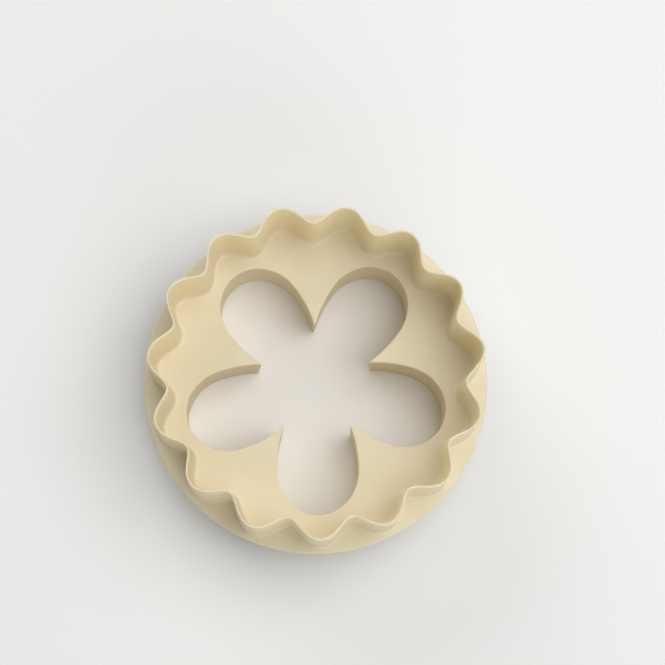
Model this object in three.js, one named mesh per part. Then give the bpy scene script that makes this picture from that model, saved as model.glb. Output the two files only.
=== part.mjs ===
// Double-sided fondant cutter in ivory plastic. A round web disc carries a scalloped cutting wall
// on its upper side and, round its aperture, a blossom-shaped cutting wall on its lower side.
// Millimetres, +Z up. The origin is on the disc's axis, in the plane of the blossom's cutting edge,
// on which the cutter stands. The first petal points towards -Y.

import * as THREE from 'three';

// Web disc
const WEB_THICKNESS = 1.6;
const LEDGE_WIDTH = 0.8;
const DISC_EDGE_ROUND = 0.5;
const APERTURE_EDGE_ROUND = 0.3;

// Scalloped wall, its outline taken along the middle of the cutting edge
const SCALLOP_COUNT = 15;
const SCALLOP_CREST_RADIUS = 33;
const SCALLOP_DEPTH = 3.7;
const SCALLOP_FULLNESS = 0.14;
const SCALLOP_HEIGHT = 14.5;

// Blossom aperture, its outline taken on the web's upper face
const PETAL_COUNT = 5;
const PETAL_TIP_MARGIN = 4.3;
const PETAL_OUTER_REACH = 9.1;
const PETAL_NECK_HALF_WIDTH = 6.5;
const PETAL_SWELL = 1.7;
const CUSP_HALF_WIDTH = 0.25;
const APERTURE_DRAFT_DEGREES = 1;
const BLOSSOM_HEIGHT = 10.4;

// Section of both cutting walls
const WALL_ROOT = 1.2;
const CUTTING_LAND = 0.4;
const INNER_FILLET = 0.8;
const OUTER_FILLET = 0.6;

// Facets
const SCALLOP_STEPS = 12;
const HALF_PETAL_STEPS = 12;
const CUSP_STEPS = 3;
const QUARTER_STEPS = 3;

// Levels and places that follow from the sizes above
const webBottom = BLOSSOM_HEIGHT;
const webTop = webBottom + WEB_THICKNESS;
const rimTop = webTop + SCALLOP_HEIGHT;
const discRadius = SCALLOP_CREST_RADIUS + WALL_ROOT / 2 + OUTER_FILLET + LEDGE_WIDTH;
const crestFootRadius = SCALLOP_CREST_RADIUS - WALL_ROOT / 2 - INNER_FILLET;
const petalCentre = crestFootRadius - PETAL_TIP_MARGIN - PETAL_OUTER_REACH;
const petalHalfWidth = PETAL_NECK_HALF_WIDTH + PETAL_SWELL;
const petalShare = Math.PI / PETAL_COUNT;
const neckHeight = petalCentre - PETAL_NECK_HALF_WIDTH / Math.tan(petalShare);
const petalInnerReach = neckHeight / Math.sqrt(1 - (PETAL_NECK_HALF_WIDTH / petalHalfWidth) ** 2);
const draftSlope = Math.tan(THREE.MathUtils.degToRad(APERTURE_DRAFT_DEGREES));

const ivory = new THREE.MeshStandardMaterial({ color: 0xeaddbd, roughness: 0.45, metalness: 0 });

// A quarter turn in steps: sine rises from 0 to 1 as fall, the loss of cosine, does.
const quarter = Array.from({ length: QUARTER_STEPS + 1 }, (_, step) => {
  const angle = (step / QUARTER_STEPS) * (Math.PI / 2);
  return { sine: Math.sin(angle), fall: 1 - Math.cos(angle) };
});
const quarterBack = quarter.toReversed();

// Skins a closed loop of rings into one ring-shaped solid. Every ring runs anticlockwise with the
// same number of points, and the loop goes up the solid's outer side and down its inner side.
function skinRings(rings) {
  const count = rings[0].length;
  const index = [];
  rings.forEach((ring, row) => {
    const here = row * count;
    const next = ((row + 1) % rings.length) * count;
    ring.forEach((point, i) => {
      const j = (i + 1) % count;
      index.push(here + i, here + j, next + j);
      index.push(here + i, next + j, next + i);
    });
  });
  const geometry = new THREE.BufferGeometry().setFromPoints(rings.flat());
  geometry.setIndex(index);
  geometry.computeVertexNormals();
  return geometry;
}

// The scallop outline at height z, moved out by offset along its own normal.
function scallopRing(offset, z) {
  const swing = SCALLOP_DEPTH / 2;
  const count = SCALLOP_COUNT * SCALLOP_STEPS;
  return Array.from({ length: count }, (_, i) => {
    const turn = (i / count) * 2 * Math.PI;
    const wave = SCALLOP_COUNT * turn;
    const fall = swing * (1 - Math.cos(wave)) - SCALLOP_FULLNESS * (1 - Math.cos(2 * wave));
    const slope = 2 * SCALLOP_FULLNESS * Math.sin(2 * wave) - swing * Math.sin(wave);
    const radius = SCALLOP_CREST_RADIUS - fall;
    const normal = new THREE.Vector2(radius, -SCALLOP_COUNT * slope).setLength(offset);
    const point = new THREE.Vector2(radius, 0).add(normal);
    point.rotateAround(new THREE.Vector2(), turn - Math.PI / 2);
    return new THREE.Vector3(point.x, point.y, z);
  });
}

// One petal of the blossom outline, grown by grow all round, with y along the petal and x across it.
// Its sides are half ellipses, and the point of the web between it and the next petal is rounded.
function petalPoints(grow) {
  const width = petalHalfWidth + grow;
  const inner = petalInnerReach + grow;
  const outer = PETAL_OUTER_REACH + grow;
  const divide = new THREE.Vector2(Math.sin(petalShare), Math.cos(petalShare));
  const across = width * divide.y;
  const along = inner * divide.x;
  const reachToDivide = (CUSP_HALF_WIDTH - petalCentre * divide.x) / Math.hypot(across, along);
  const end = Math.acos(reachToDivide) - Math.atan2(across, along);

  const points = [];
  for (let step = -HALF_PETAL_STEPS; step <= HALF_PETAL_STEPS; step += 1) {
    const t = (step / HALF_PETAL_STEPS) * end;
    const reach = Math.cos(t) > 0 ? outer : inner;
    points.push(new THREE.Vector2(width * Math.sin(t), petalCentre + reach * Math.cos(t)));
  }

  const start = points.at(-1);
  const mirrored = divide.clone().multiplyScalar(2 * divide.dot(start)).sub(start);
  const heading = new THREE.Vector2(width * Math.cos(end), -inner * Math.sin(end));
  const apex = heading.multiplyScalar(CUSP_HALF_WIDTH / heading.cross(divide)).add(start);
  const cusp = new THREE.QuadraticBezierCurve(start, apex, mirrored);
  return points.concat(cusp.getPoints(CUSP_STEPS).slice(1, -1));
}

// The blossom outline at height z.
function blossomRing(grow, z) {
  const petal = petalPoints(grow);
  return Array.from({ length: PETAL_COUNT }, (_, k) => {
    const heading = (k / PETAL_COUNT) * 2 * Math.PI - Math.PI / 2;
    const outward = new THREE.Vector3(Math.cos(heading), Math.sin(heading), 0);
    const sideways = new THREE.Vector3(-outward.y, outward.x, 0);
    return petal.map(({ x, y }) =>
      new THREE.Vector3(0, 0, z).addScaledVector(outward, y).addScaledVector(sideways, x));
  }).flat();
}

// A circle at height z, its points in line with those of the blossom outline.
function circleRing(radius, z) {
  return blossomRing(0, 0).map((point) => point.setLength(radius).setZ(z));
}

// How far the aperture has opened out by draft at height z.
function apertureGrowth(z) {
  return (webTop - z) * draftSlope;
}

// Web disc with rounded rim, and the blossom aperture with its upper edge eased.
function webDisc() {
  const flat = discRadius - DISC_EDGE_ROUND;
  const lowerRim = quarter.map(({ sine, fall }) =>
    circleRing(flat + DISC_EDGE_ROUND * sine, webBottom + DISC_EDGE_ROUND * fall));
  const upperRim = quarterBack.map(({ sine, fall }) =>
    circleRing(flat + DISC_EDGE_ROUND * sine, webTop - DISC_EDGE_ROUND * fall));
  const apertureEdge = quarter.map(({ sine, fall }) => {
    const z = webTop - APERTURE_EDGE_ROUND * fall;
    return blossomRing(apertureGrowth(z) + APERTURE_EDGE_ROUND * (1 - sine), z);
  });
  const apertureFoot = blossomRing(apertureGrowth(webBottom), webBottom);
  return skinRings([...lowerRim, ...upperRim, ...apertureEdge, apertureFoot]);
}

// Scalloped wall on the web's upper face: filleted foot, drafted sides and a narrow flat land.
function scallopedWall() {
  const half = WALL_ROOT / 2;
  const outerFoot = quarter.map(({ sine, fall }) =>
    scallopRing(half + OUTER_FILLET * (1 - sine), webTop + OUTER_FILLET * fall));
  const land = [scallopRing(CUTTING_LAND / 2, rimTop), scallopRing(-CUTTING_LAND / 2, rimTop)];
  const innerFoot = quarterBack.map(({ sine, fall }) =>
    scallopRing(-half - INNER_FILLET * (1 - sine), webTop + INNER_FILLET * fall));
  return skinRings([...outerFoot, ...land, ...innerFoot]);
}

// Blossom wall under the web: it carries the aperture's drafted face down to the cutting land.
function blossomWall() {
  const edge = apertureGrowth(0);
  const face = apertureGrowth(webBottom);
  const outerFoot = quarterBack.map(({ sine, fall }) =>
    blossomRing(face + WALL_ROOT + OUTER_FILLET * (1 - sine), webBottom - OUTER_FILLET * fall));
  return skinRings([
    blossomRing(edge + CUTTING_LAND, 0),
    ...outerFoot,
    blossomRing(face, webBottom),
    blossomRing(edge, 0),
  ]);
}

const cutter = new THREE.Group();
const pieces = { web_disc: webDisc(), scalloped_wall: scallopedWall(), blossom_wall: blossomWall() };
for (const [name, geometry] of Object.entries(pieces)) {
  const mesh = new THREE.Mesh(geometry, ivory);
  mesh.name = name;
  cutter.add(mesh);
}

export default cutter;
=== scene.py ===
from math import acos, atan2, cos, hypot, pi, radians, sin, sqrt, tan

import bpy
from mathutils import Matrix, Vector


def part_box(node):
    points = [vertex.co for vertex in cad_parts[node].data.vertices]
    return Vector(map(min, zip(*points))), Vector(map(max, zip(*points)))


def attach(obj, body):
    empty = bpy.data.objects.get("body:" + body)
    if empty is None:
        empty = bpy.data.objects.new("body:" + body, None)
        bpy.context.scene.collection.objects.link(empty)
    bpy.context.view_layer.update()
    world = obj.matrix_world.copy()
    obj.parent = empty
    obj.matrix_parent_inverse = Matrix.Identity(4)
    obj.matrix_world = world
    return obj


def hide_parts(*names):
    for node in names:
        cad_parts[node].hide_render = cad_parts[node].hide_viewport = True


# Double-sided fondant cutter in ivory plastic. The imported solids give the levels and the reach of
# each piece; this script skins the same forms finely, with rounded lips and fillets, and finishes
# them. Metres, +Z up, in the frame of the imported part.

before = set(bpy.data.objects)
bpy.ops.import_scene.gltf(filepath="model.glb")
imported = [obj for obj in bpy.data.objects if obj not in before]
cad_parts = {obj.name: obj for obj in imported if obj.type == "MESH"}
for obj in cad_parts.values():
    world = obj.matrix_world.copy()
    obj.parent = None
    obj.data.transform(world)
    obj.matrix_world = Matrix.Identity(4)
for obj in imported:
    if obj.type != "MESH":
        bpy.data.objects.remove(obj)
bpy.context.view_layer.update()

MM = 0.001

# Sections of the moulding
WALL_ROOT = 1.2 * MM
CUTTING_LAND = 0.4 * MM
LIP_ROUND = 0.18 * MM
INNER_FILLET = 0.8 * MM
OUTER_FILLET = 0.6 * MM
DISC_EDGE_ROUND = 0.5 * MM
APERTURE_EDGE_ROUND = 0.3 * MM

# How far under the web's face a wall's fillets end, and how deep its foot goes into the web
FOOT_TUCK = 0.01 * MM
ROOT_DEPTH = 0.3 * MM

# Narrow band of faces that keeps the web's flats flat beside its rounded edges
EDGE_MARGIN = 0.12 * MM

# Scallops
SCALLOP_COUNT = 15
SCALLOP_DEPTH = 3.7 * MM
SCALLOP_FULLNESS = 0.14 * MM

# Blossom
PETAL_COUNT = 5
PETAL_OUTER_REACH = 9.1 * MM
PETAL_NECK_HALF_WIDTH = 6.5 * MM
PETAL_SWELL = 1.7 * MM
CUSP_HALF_WIDTH = 0.25 * MM
APERTURE_DRAFT = tan(radians(1))

# Fineness of the skins, and the angle from which an edge stays sharp
SCALLOP_STEPS = 48
HALF_PETAL_STEPS = 48
CUSP_STEPS = 8
SIDE_STEPS = 10
ROUND_STEPS = 8
LIP_STEPS = 4
CREASE_ANGLE = radians(40)

# Ivory plastic: its faint clouds lie between two tones, and its walls carry a painted warm shade
# that rises towards the lip, standing in for golden light passed through and between the thin walls
CLOUD_TONES = ((0.81, 0.72, 0.51, 1), (0.84, 0.75, 0.54, 1))
CLOUD_EDGES = (0.3, 0.7)
# Tone of the painted warm shade on the walls, standing in for golden light passed through them
WARM_PAINTED_SHADE_TONE = (0.91, 0.71, 0.43, 1)
ROUGHNESS_RANGE = (0.45, 0.6)
PLASTIC_IOR = 1.49

# Share of the light that enters the plastic at a lip, which is also the share of painted warm shade
# there, and how far that light goes there, with the shares of that distance for red, green and blue
LIP_GLOW = 0.75
GLOW_DISTANCE = 3 * MM
GLOW_SHARES = (1, 0.94, 0.6)

# Noises of the plastic: scale, in repeats a metre, and detail
CLOUD_NOISE = (160, 3)
SATIN_NOISE = (700, 4)
SWELL_NOISE = (130, 1)
GRAIN_NOISE = (3200, 2)

# Depth and strength of the plastic's uneven skin and of its grain
SWELL_DEPTH = 0.08 * MM
SWELL_STRENGTH = 0.5
GRAIN_DEPTH = 0.01 * MM
GRAIN_STRENGTH = 0.35

# Floor, and the even pale shade that it passes into between two distances from the cutter's axis
FLOOR_SIZE = 6
FLOOR_ROUGHNESS = 0.9
FLOOR_SEEN_TONE = (0.95, 0.95, 0.94, 1)
FLOOR_LIGHT_TONE = (0.5, 0.5, 0.5, 1)
FLOOR_FADE_START = 0.12
FLOOR_FADE_END = 0.4
BACKDROP_SHADE = 0.82
WHITE = (1, 1, 1, 1)

# Lamps stand this far from the web
LAMP_DISTANCE = 0.7

# Camera as in the photograph, aimed at a point on the web's upper face
PICTURE_PIXELS = 665
FOCAL_PIXELS = 1587
SENSOR_WIDTH = 36
CLIP_START = 0.01
CAMERA_AZIMUTH = radians(-9.31)
CAMERA_ELEVATION = radians(79.08)
CAMERA_ROLL = radians(8.09)
CAMERA_DISTANCE = 0.325
AIM_X = 3.63 * MM
AIM_Y = 9.89 * MM

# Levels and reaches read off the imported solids
web_low, web_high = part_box("web_disc")
scallop_low, scallop_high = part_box("scalloped_wall")
blossom_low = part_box("blossom_wall")[0]
web_bottom = web_low.z
web_top = web_high.z
rim_top = scallop_high.z
edge_bottom = blossom_low.z
disc_radius = web_high.x
crest_radius = -scallop_low.y - WALL_ROOT / 2 - OUTER_FILLET
wall_reach = -blossom_low.y

# Petal form that follows from these
face_growth = (web_top - web_bottom) * APERTURE_DRAFT
petal_centre = wall_reach - OUTER_FILLET - WALL_ROOT - face_growth - PETAL_OUTER_REACH
petal_half_width = PETAL_NECK_HALF_WIDTH + PETAL_SWELL
petal_share = pi / PETAL_COUNT
neck_height = petal_centre - PETAL_NECK_HALF_WIDTH / tan(petal_share)
petal_inner_reach = neck_height / sqrt(1 - (PETAL_NECK_HALF_WIDTH / petal_half_width) ** 2)


def scallop_ring(offset, z):
    """The scallop outline at height z, moved out by offset along its own normal."""
    swing = SCALLOP_DEPTH / 2
    count = SCALLOP_COUNT * SCALLOP_STEPS
    ring = []
    for i in range(count):
        turn = 2 * pi * i / count
        wave = SCALLOP_COUNT * turn
        radius = crest_radius - swing * (1 - cos(wave)) + SCALLOP_FULLNESS * (1 - cos(2 * wave))
        slope = 2 * SCALLOP_FULLNESS * sin(2 * wave) - swing * sin(wave)
        normal = Vector((radius, -SCALLOP_COUNT * slope)).normalized() * offset
        point = Matrix.Rotation(turn - pi / 2, 2) @ (Vector((radius, 0)) + normal)
        ring.append((point.x, point.y, z))
    return ring


def petal_points(grow):
    """One petal of the blossom outline, grown all round: y along the petal, x across it."""
    width = petal_half_width + grow
    inner = petal_inner_reach + grow
    outer = PETAL_OUTER_REACH + grow
    divide = Vector((sin(petal_share), cos(petal_share)))
    across = width * divide.y
    along = inner * divide.x
    to_divide = (CUSP_HALF_WIDTH - petal_centre * divide.x) / hypot(across, along)
    end = acos(to_divide) - atan2(across, along)

    points = []
    for step in range(-HALF_PETAL_STEPS, HALF_PETAL_STEPS + 1):
        t = end * step / HALF_PETAL_STEPS
        reach = outer if cos(t) > 0 else inner
        points.append(Vector((width * sin(t), petal_centre + reach * cos(t))))

    start = points[-1]
    mirrored = 2 * divide.dot(start) * divide - start
    heading = Vector((width * cos(end), -inner * sin(end)))
    apex = start + heading * CUSP_HALF_WIDTH / (heading.x * divide.y - heading.y * divide.x)
    for step in range(1, CUSP_STEPS):
        t = step / CUSP_STEPS
        points.append(start * (1 - t) ** 2 + apex * 2 * t * (1 - t) + mirrored * t ** 2)
    return points


def blossom_ring(grow, z):
    """The blossom outline at height z, grown all round."""
    ring = []
    petal = petal_points(grow)
    for k in range(PETAL_COUNT):
        heading = 2 * pi * k / PETAL_COUNT - pi / 2
        outward = Vector((cos(heading), sin(heading)))
        sideways = Vector((-outward.y, outward.x))
        for point in petal:
            place = outward * point.y + sideways * point.x
            ring.append((place.x, place.y, z))
    return ring


def circle_ring(radius, z):
    """A circle at height z, its points in line with those of the blossom outline."""
    ring = []
    for x, y, _ in blossom_ring(0, 0):
        place = Vector((x, y)).normalized() * radius
        ring.append((place.x, place.y, z))
    return ring


def aperture_growth(z):
    """How far the aperture has opened out by draft at height z."""
    return (web_top - z) * APERTURE_DRAFT


def quarter(steps):
    """A quarter turn in steps: pairs of the sine and of the fall, the loss of cosine."""
    angles = [pi / 2 * step / steps for step in range(steps + 1)]
    return [(sin(angle), 1 - cos(angle)) for angle in angles]


def wall_side(root, land, fillet, height):
    """One side of a cutting wall from its foot to its lip: pairs of offset and height."""
    side = [(root + fillet, -ROOT_DEPTH)]
    for sine, fall in quarter(ROUND_STEPS):
        side.append((root + fillet * (1 - sine), fillet * fall - FOOT_TUCK))
    foot = side[-1]
    for step in range(1, SIDE_STEPS + 1):
        share = step / SIDE_STEPS
        offset = foot[0] + (land - foot[0]) * share
        side.append((offset, foot[1] + (height - LIP_ROUND - foot[1]) * share))
    for sine, fall in quarter(LIP_STEPS)[1:]:
        side.append((land - LIP_ROUND * fall, height - LIP_ROUND * (1 - sine)))
    return side


def skin(name, rings):
    """A closed ring-shaped solid through a loop of rings, up its outer side and down its inner."""
    count = len(rings[0])
    faces = []
    for row in range(len(rings)):
        here = row * count
        after = (row + 1) % len(rings) * count
        for i in range(count):
            j = (i + 1) % count
            faces.append((here + i, here + j, after + j, after + i))
    mesh = bpy.data.meshes.new(name)
    mesh.from_pydata([point for ring in rings for point in ring], [], faces)
    mesh.shade_smooth()
    mesh.set_sharp_from_angle(angle=CREASE_ANGLE)
    piece = bpy.data.objects.new(name, mesh)
    bpy.context.scene.collection.objects.link(piece)
    return piece


def web_disc():
    """Flat web with rounded rim and eased aperture edge."""
    flat = disc_radius - DISC_EDGE_ROUND
    rings = [
        blossom_ring(face_growth, web_bottom),
        blossom_ring(face_growth + EDGE_MARGIN, web_bottom),
        circle_ring(flat - EDGE_MARGIN, web_bottom),
    ]
    for sine, fall in quarter(ROUND_STEPS):
        rings.append(circle_ring(flat + DISC_EDGE_ROUND * sine, web_bottom + DISC_EDGE_ROUND * fall))
    for sine, fall in reversed(quarter(ROUND_STEPS)):
        rings.append(circle_ring(flat + DISC_EDGE_ROUND * sine, web_top - DISC_EDGE_ROUND * fall))
    rings.append(circle_ring(flat - EDGE_MARGIN, web_top))
    rings.append(blossom_ring(APERTURE_EDGE_ROUND + EDGE_MARGIN, web_top))
    for sine, fall in quarter(ROUND_STEPS):
        z = web_top - APERTURE_EDGE_ROUND * fall
        rings.append(blossom_ring(aperture_growth(z) + APERTURE_EDGE_ROUND * (1 - sine), z))
    return skin("web", rings)


def scalloped_wall():
    """Wavy wall on the web's upper face, thinning to a rounded lip."""
    height = rim_top - web_top
    outer = wall_side(WALL_ROOT / 2, CUTTING_LAND / 2, OUTER_FILLET, height)
    inner = wall_side(WALL_ROOT / 2, CUTTING_LAND / 2, INNER_FILLET, height)
    rings = [scallop_ring(offset, web_top + up) for offset, up in outer]
    rings += [scallop_ring(-offset, web_top + up) for offset, up in reversed(inner)]
    return skin("scallop_edge", rings)


def blossom_wall():
    """Wall under the web that carries the aperture's drafted face down to its lip."""
    height = web_bottom - edge_bottom
    edge_growth = aperture_growth(edge_bottom)
    outer = wall_side(WALL_ROOT + face_growth, CUTTING_LAND + edge_growth, OUTER_FILLET, height)
    rings = [blossom_ring(offset, web_bottom - up) for offset, up in reversed(outer)]
    rings.append(blossom_ring(face_growth, web_bottom))
    for step in range(1, SIDE_STEPS):
        z = web_bottom - (height - LIP_ROUND) * step / SIDE_STEPS
        rings.append(blossom_ring(aperture_growth(z), z))
    for sine, fall in quarter(LIP_STEPS):
        z = edge_bottom + LIP_ROUND * (1 - sine)
        rings.append(blossom_ring(edge_growth + LIP_ROUND * fall, z))
    return skin("blossom_edge", rings)


def set_inputs(tree, node, inputs):
    """Links each input of a node to the socket given for it, or sets it to the value given."""
    for name, given in inputs.items():
        if isinstance(given, bpy.types.NodeSocket):
            tree.links.new(given, node.inputs[name])
        else:
            node.inputs[name].default_value = given


def add_node(tree, kind, inputs, **settings):
    """Adds a node with its settings and inputs, and returns its first output."""
    node = tree.nodes.new("ShaderNode" + kind)
    for name, value in settings.items():
        setattr(node, name, value)
    set_inputs(tree, node, inputs)
    return node.outputs[0]


def thinness(tree, place):
    """0 in the web and at a wall's foot, rising to LIP_GLOW at the scalloped wall's lip."""
    heights = tree.nodes.new("ShaderNodeSeparateXYZ")
    set_inputs(tree, heights, {"Vector": place})
    middle = (web_top + web_bottom) / 2
    from_middle = add_node(tree, "Math", {0: heights.outputs["Z"], 1: middle}, operation="SUBTRACT")
    return add_node(tree, "MapRange", {
        "Value": add_node(tree, "Math", {0: from_middle}, operation="ABSOLUTE"),
        "From Min": web_top - middle + INNER_FILLET / 2,
        "From Max": rim_top - middle,
        "To Max": LIP_GLOW,
    })


def ivory_plastic():
    """Satin ivory moulding: faint clouding of the colour, fine grain and a slightly uneven skin.
    Its walls let light through as they thin, and carry a painted warm shade there, standing in for
    golden light passed through and between them."""
    material = bpy.data.materials.new("ivory_plastic")
    material.use_nodes = True
    tree = material.node_tree
    place = tree.nodes.new("ShaderNodeTexCoord").outputs["Object"]

    def noise(scale, detail):
        return add_node(tree, "TexNoise", {"Vector": place, "Scale": scale, "Detail": detail})

    clouds = tree.nodes.new("ShaderNodeValToRGB")
    set_inputs(tree, clouds, {"Fac": noise(*CLOUD_NOISE)})
    for element, edge, tone in zip(clouds.color_ramp.elements, CLOUD_EDGES, CLOUD_TONES):
        element.position = edge
        element.color = tone
    glow = thinness(tree, place)
    # Painted warm shade: the walls' colour warms towards the lip, standing in for golden light
    # passed through and between the thin walls
    tone = add_node(tree, "MixRGB", {
        "Fac": glow,
        "Color1": clouds.outputs["Color"],
        "Color2": WARM_PAINTED_SHADE_TONE,
    })

    roughness = add_node(tree, "MapRange", {
        "Value": noise(*SATIN_NOISE),
        "To Min": ROUGHNESS_RANGE[0],
        "To Max": ROUGHNESS_RANGE[1],
    })
    swell = add_node(tree, "Bump", {
        "Strength": SWELL_STRENGTH,
        "Distance": SWELL_DEPTH,
        "Height": noise(*SWELL_NOISE),
    })
    grain = add_node(tree, "Bump", {
        "Strength": GRAIN_STRENGTH,
        "Distance": GRAIN_DEPTH,
        "Height": noise(*GRAIN_NOISE),
        "Normal": swell,
    })
    set_inputs(tree, tree.nodes["Principled BSDF"], {
        "Base Color": tone,
        "Roughness": roughness,
        "Normal": grain,
        "IOR": PLASTIC_IOR,
        "Subsurface Weight": glow,
        "Subsurface Radius": GLOW_SHARES,
        "Subsurface Scale": GLOW_DISTANCE,
    })
    return material


def seen_directly(tree):
    """A socket that is 1 for what the camera sees, straight, mirrored or through glass, else 0."""
    path = tree.nodes.new("ShaderNodeLightPath")
    seen = path.outputs["Is Camera Ray"]
    for kind in ("Is Glossy Ray", "Is Transmission Ray"):
        seen = add_node(tree, "Math", {0: seen, 1: path.outputs[kind]}, operation="MAXIMUM")
    return seen


def pale_floor():
    """Matt floor: pale where it is seen, plain mid grey to the light that it sends back.
    Away from the cutter it passes into the backdrop's even shade."""
    bpy.ops.mesh.primitive_plane_add(size=FLOOR_SIZE, location=(0, 0, edge_bottom))
    floor = bpy.context.object
    floor.name = "floor"
    material = bpy.data.materials.new("pale_floor")
    material.use_nodes = True
    tree = material.node_tree
    seen = seen_directly(tree)

    matt = tree.nodes["Principled BSDF"]
    tones = {"Fac": seen, "Color1": FLOOR_LIGHT_TONE, "Color2": FLOOR_SEEN_TONE}
    set_inputs(tree, matt, {
        "Base Color": add_node(tree, "MixRGB", tones),
        "Roughness": FLOOR_ROUGHNESS,
    })

    spread = tree.nodes.new("ShaderNodeVectorMath")
    spread.operation = "LENGTH"
    set_inputs(tree, spread, {0: tree.nodes.new("ShaderNodeTexCoord").outputs["Object"]})
    far = add_node(tree, "MapRange", {
        "Value": spread.outputs["Value"],
        "From Min": FLOOR_FADE_START,
        "From Max": FLOOR_FADE_END,
    }, interpolation_type="SMOOTHSTEP")
    surface = add_node(tree, "MixShader", {
        "Fac": add_node(tree, "Math", {0: far, 1: seen}, operation="MULTIPLY"),
        1: matt.outputs["BSDF"],
        2: add_node(tree, "Emission", {"Strength": BACKDROP_SHADE}),
    })
    set_inputs(tree, tree.nodes["Material Output"], {"Surface": surface})
    floor.data.materials.append(material)


def soft_lamp(name, azimuth, elevation, size, level):
    """A square lamp that faces the web. Level 1 by itself would show a colour as it is written."""
    aim = Vector((0, 0, web_top))
    away = Vector((cos(azimuth) * cos(elevation), sin(azimuth) * cos(elevation), sin(elevation)))
    lamp = bpy.data.lights.new(name, "AREA")
    lamp.size = size
    lamp.energy = level * (pi * LAMP_DISTANCE) ** 2
    holder = bpy.data.objects.new(name, lamp)
    holder.location = aim + away * LAMP_DISTANCE
    holder.rotation_euler = (-away).to_track_quat("-Z", "Y").to_euler()
    bpy.context.scene.collection.objects.link(holder)


def pale_world(level):
    """Even light from all round at level; where it is seen it has the backdrop's shade."""
    world = bpy.data.worlds.new("world")
    bpy.context.scene.world = world
    world.use_nodes = True
    tree = world.node_tree
    shades = {"Value": seen_directly(tree), "To Min": level, "To Max": BACKDROP_SHADE}
    set_inputs(tree, tree.nodes["Background"], {
        "Color": WHITE,
        "Strength": add_node(tree, "MapRange", shades),
    })


def photo_camera():
    """A camera that looks down on the cutter as the photograph's does."""
    back = Vector((
        sin(CAMERA_AZIMUTH) * cos(CAMERA_ELEVATION),
        -cos(CAMERA_AZIMUTH) * cos(CAMERA_ELEVATION),
        sin(CAMERA_ELEVATION),
    ))
    right = Vector((0, 0, 1)).cross(back).normalized()
    up = back.cross(right)
    turn = Matrix((right, up, back)).transposed() @ Matrix.Rotation(CAMERA_ROLL, 3, "Z")
    place = Vector((AIM_X, AIM_Y, web_top)) + back * CAMERA_DISTANCE
    lens = bpy.data.cameras.new("camera")
    lens.sensor_width = SENSOR_WIDTH
    lens.lens = FOCAL_PIXELS * SENSOR_WIDTH / PICTURE_PIXELS
    lens.clip_start = CLIP_START
    camera = bpy.data.objects.new("camera", lens)
    camera.matrix_world = Matrix.Translation(place) @ turn.to_4x4()
    bpy.context.scene.collection.objects.link(camera)
    bpy.context.scene.camera = camera


photo_camera()

plastic = ivory_plastic()
builders = {"web_disc": web_disc, "scalloped_wall": scalloped_wall, "blossom_wall": blossom_wall}
for node, build in builders.items():
    piece = build()
    piece.data.materials.append(plastic)
    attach(piece, "root")
    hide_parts(node)

pale_floor()
soft_lamp("key", azimuth=radians(10), elevation=radians(64), size=0.7, level=0.72)
soft_lamp("back", azimuth=radians(120), elevation=radians(26), size=0.5, level=0.38)
soft_lamp("fill", azimuth=radians(288), elevation=radians(20), size=0.5, level=0.3)
pale_world(level=0.18)

bpy.context.scene.view_settings.view_transform = "Standard"
